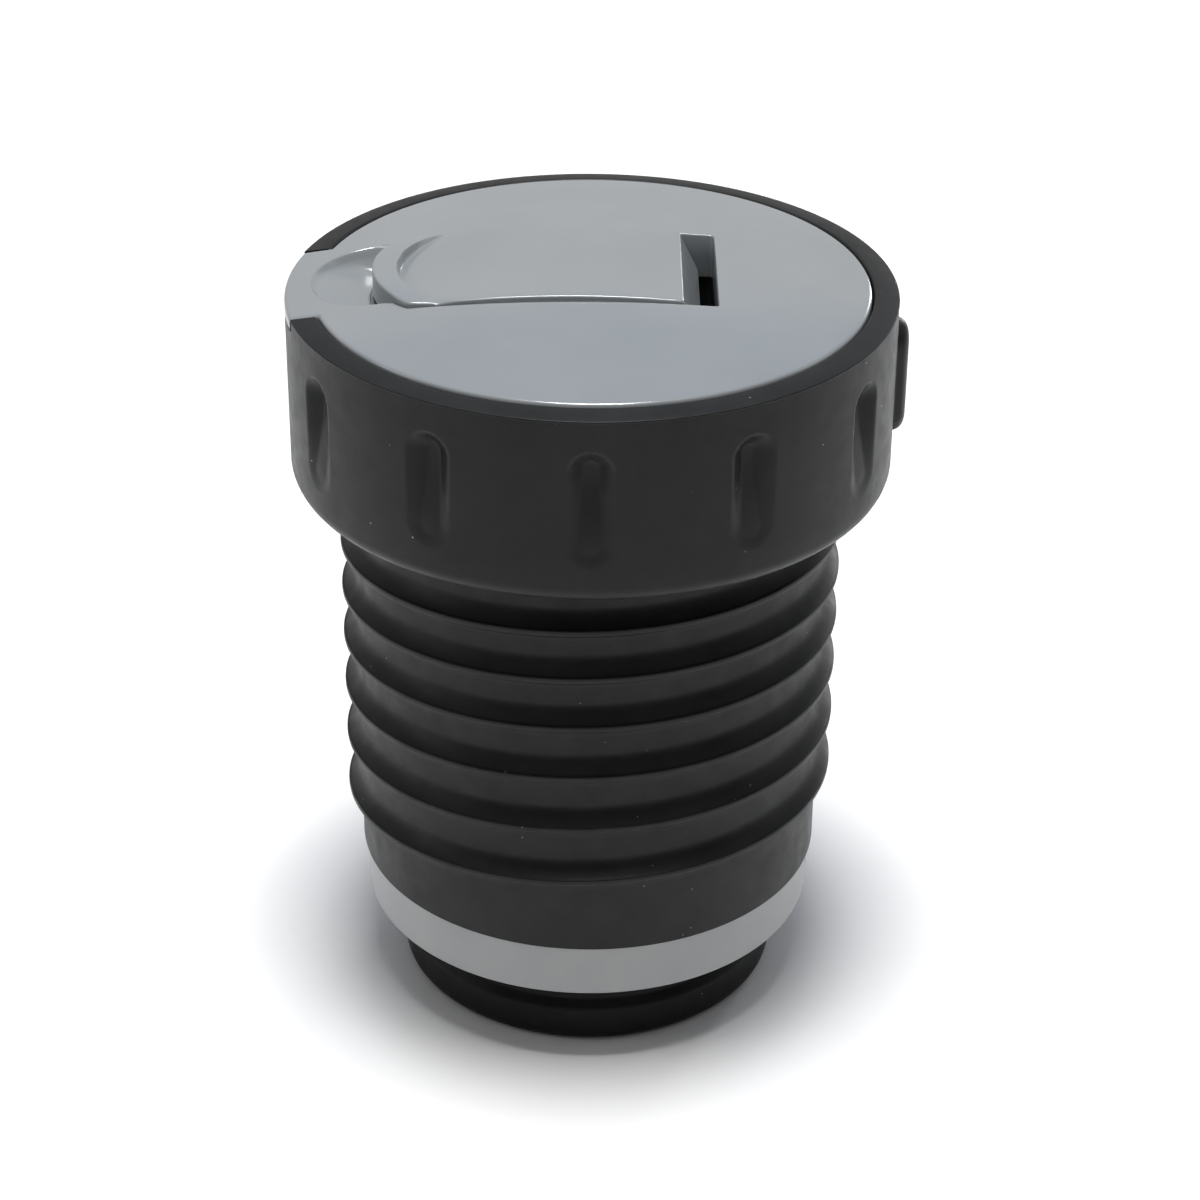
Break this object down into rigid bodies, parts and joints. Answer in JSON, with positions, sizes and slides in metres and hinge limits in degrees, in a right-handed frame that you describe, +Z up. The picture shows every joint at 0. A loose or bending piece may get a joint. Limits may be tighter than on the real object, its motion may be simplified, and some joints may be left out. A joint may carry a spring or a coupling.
{
  "type": "toilet bellows plunger",
  "caption": "Hand-pressed bellows flush pump: grip collar, domed lid with flip-up pull tab, ribbed rubber sleeve, pale valve base and rubber foot seal.",
  "frame": {"origin": "centre of the foot's underside, on the hub of the outlet cage, on the surface the part stands on", "axes": "+Z up along the stroke, from the foot to the lid; -X towards the lid's finger tongue; +X towards the collar's lug"},
  "size_m": [0.1, 0.098, 0.13],
  "materials": {
    "collar_plastic": "satin black",
    "grey_plastic": "glossy cool grey",
    "pale_plastic": "satin pale grey",
    "black_rubber": "satin black",
    "spring_steel": "bright"
  },
  "bodies": {
    "base": {"valve_base": "pale_plastic", "foot_seal": "black_rubber", "bellows": "black_rubber", "return_spring": "spring_steel", "flap_retainer": "pale_plastic", "outlet_cage": "pale_plastic", "cage_screw_1": "spring_steel", "cage_screw_2": "spring_steel", "cage_screw_3": "spring_steel", "outlet_spring": "spring_steel"},
    "head": {"grip_collar": "collar_plastic", "press_lid": "grey_plastic", "tab_hinge_pin": "spring_steel", "head_plate": "collar_plastic", "top_clamp_band": "spring_steel", "lid_screw_1": "spring_steel", "lid_screw_2": "spring_steel", "lid_screw_3": "spring_steel", "lid_screw_4": "spring_steel"},
    "tab": {"pull_tab": "grey_plastic"},
    "inlet_valve": {"inlet_flap": "black_rubber"},
    "outlet_valve": {"outlet_poppet": "black_rubber"}
  },
  "joints": [
    {"name": "press_stroke", "type": "slide", "parent": "base", "child": "head", "axis": [0, 0, -1], "range_m": [0, 0.024], "stiffness_N_per_m": 700, "springref_m": -0.008, "deforming": ["bellows", "return_spring"]},
    {"name": "tab_lift", "type": "hinge", "parent": "head", "child": "tab", "pos_m": [0.01, 0, 0.1216], "axis": [0, 1, 0], "range_deg": [0, 90]},
    {"name": "inlet_lift", "type": "slide", "parent": "base", "child": "inlet_valve", "axis": [0, 0, 1], "range_m": [0, 0.002]},
    {"name": "outlet_open", "type": "slide", "parent": "base", "child": "outlet_valve", "axis": [0, 0, -1], "range_m": [0, 0.0022], "stiffness_N_per_m": 120, "springref_m": -0.004, "deforming": ["outlet_spring"]}
  ]
}
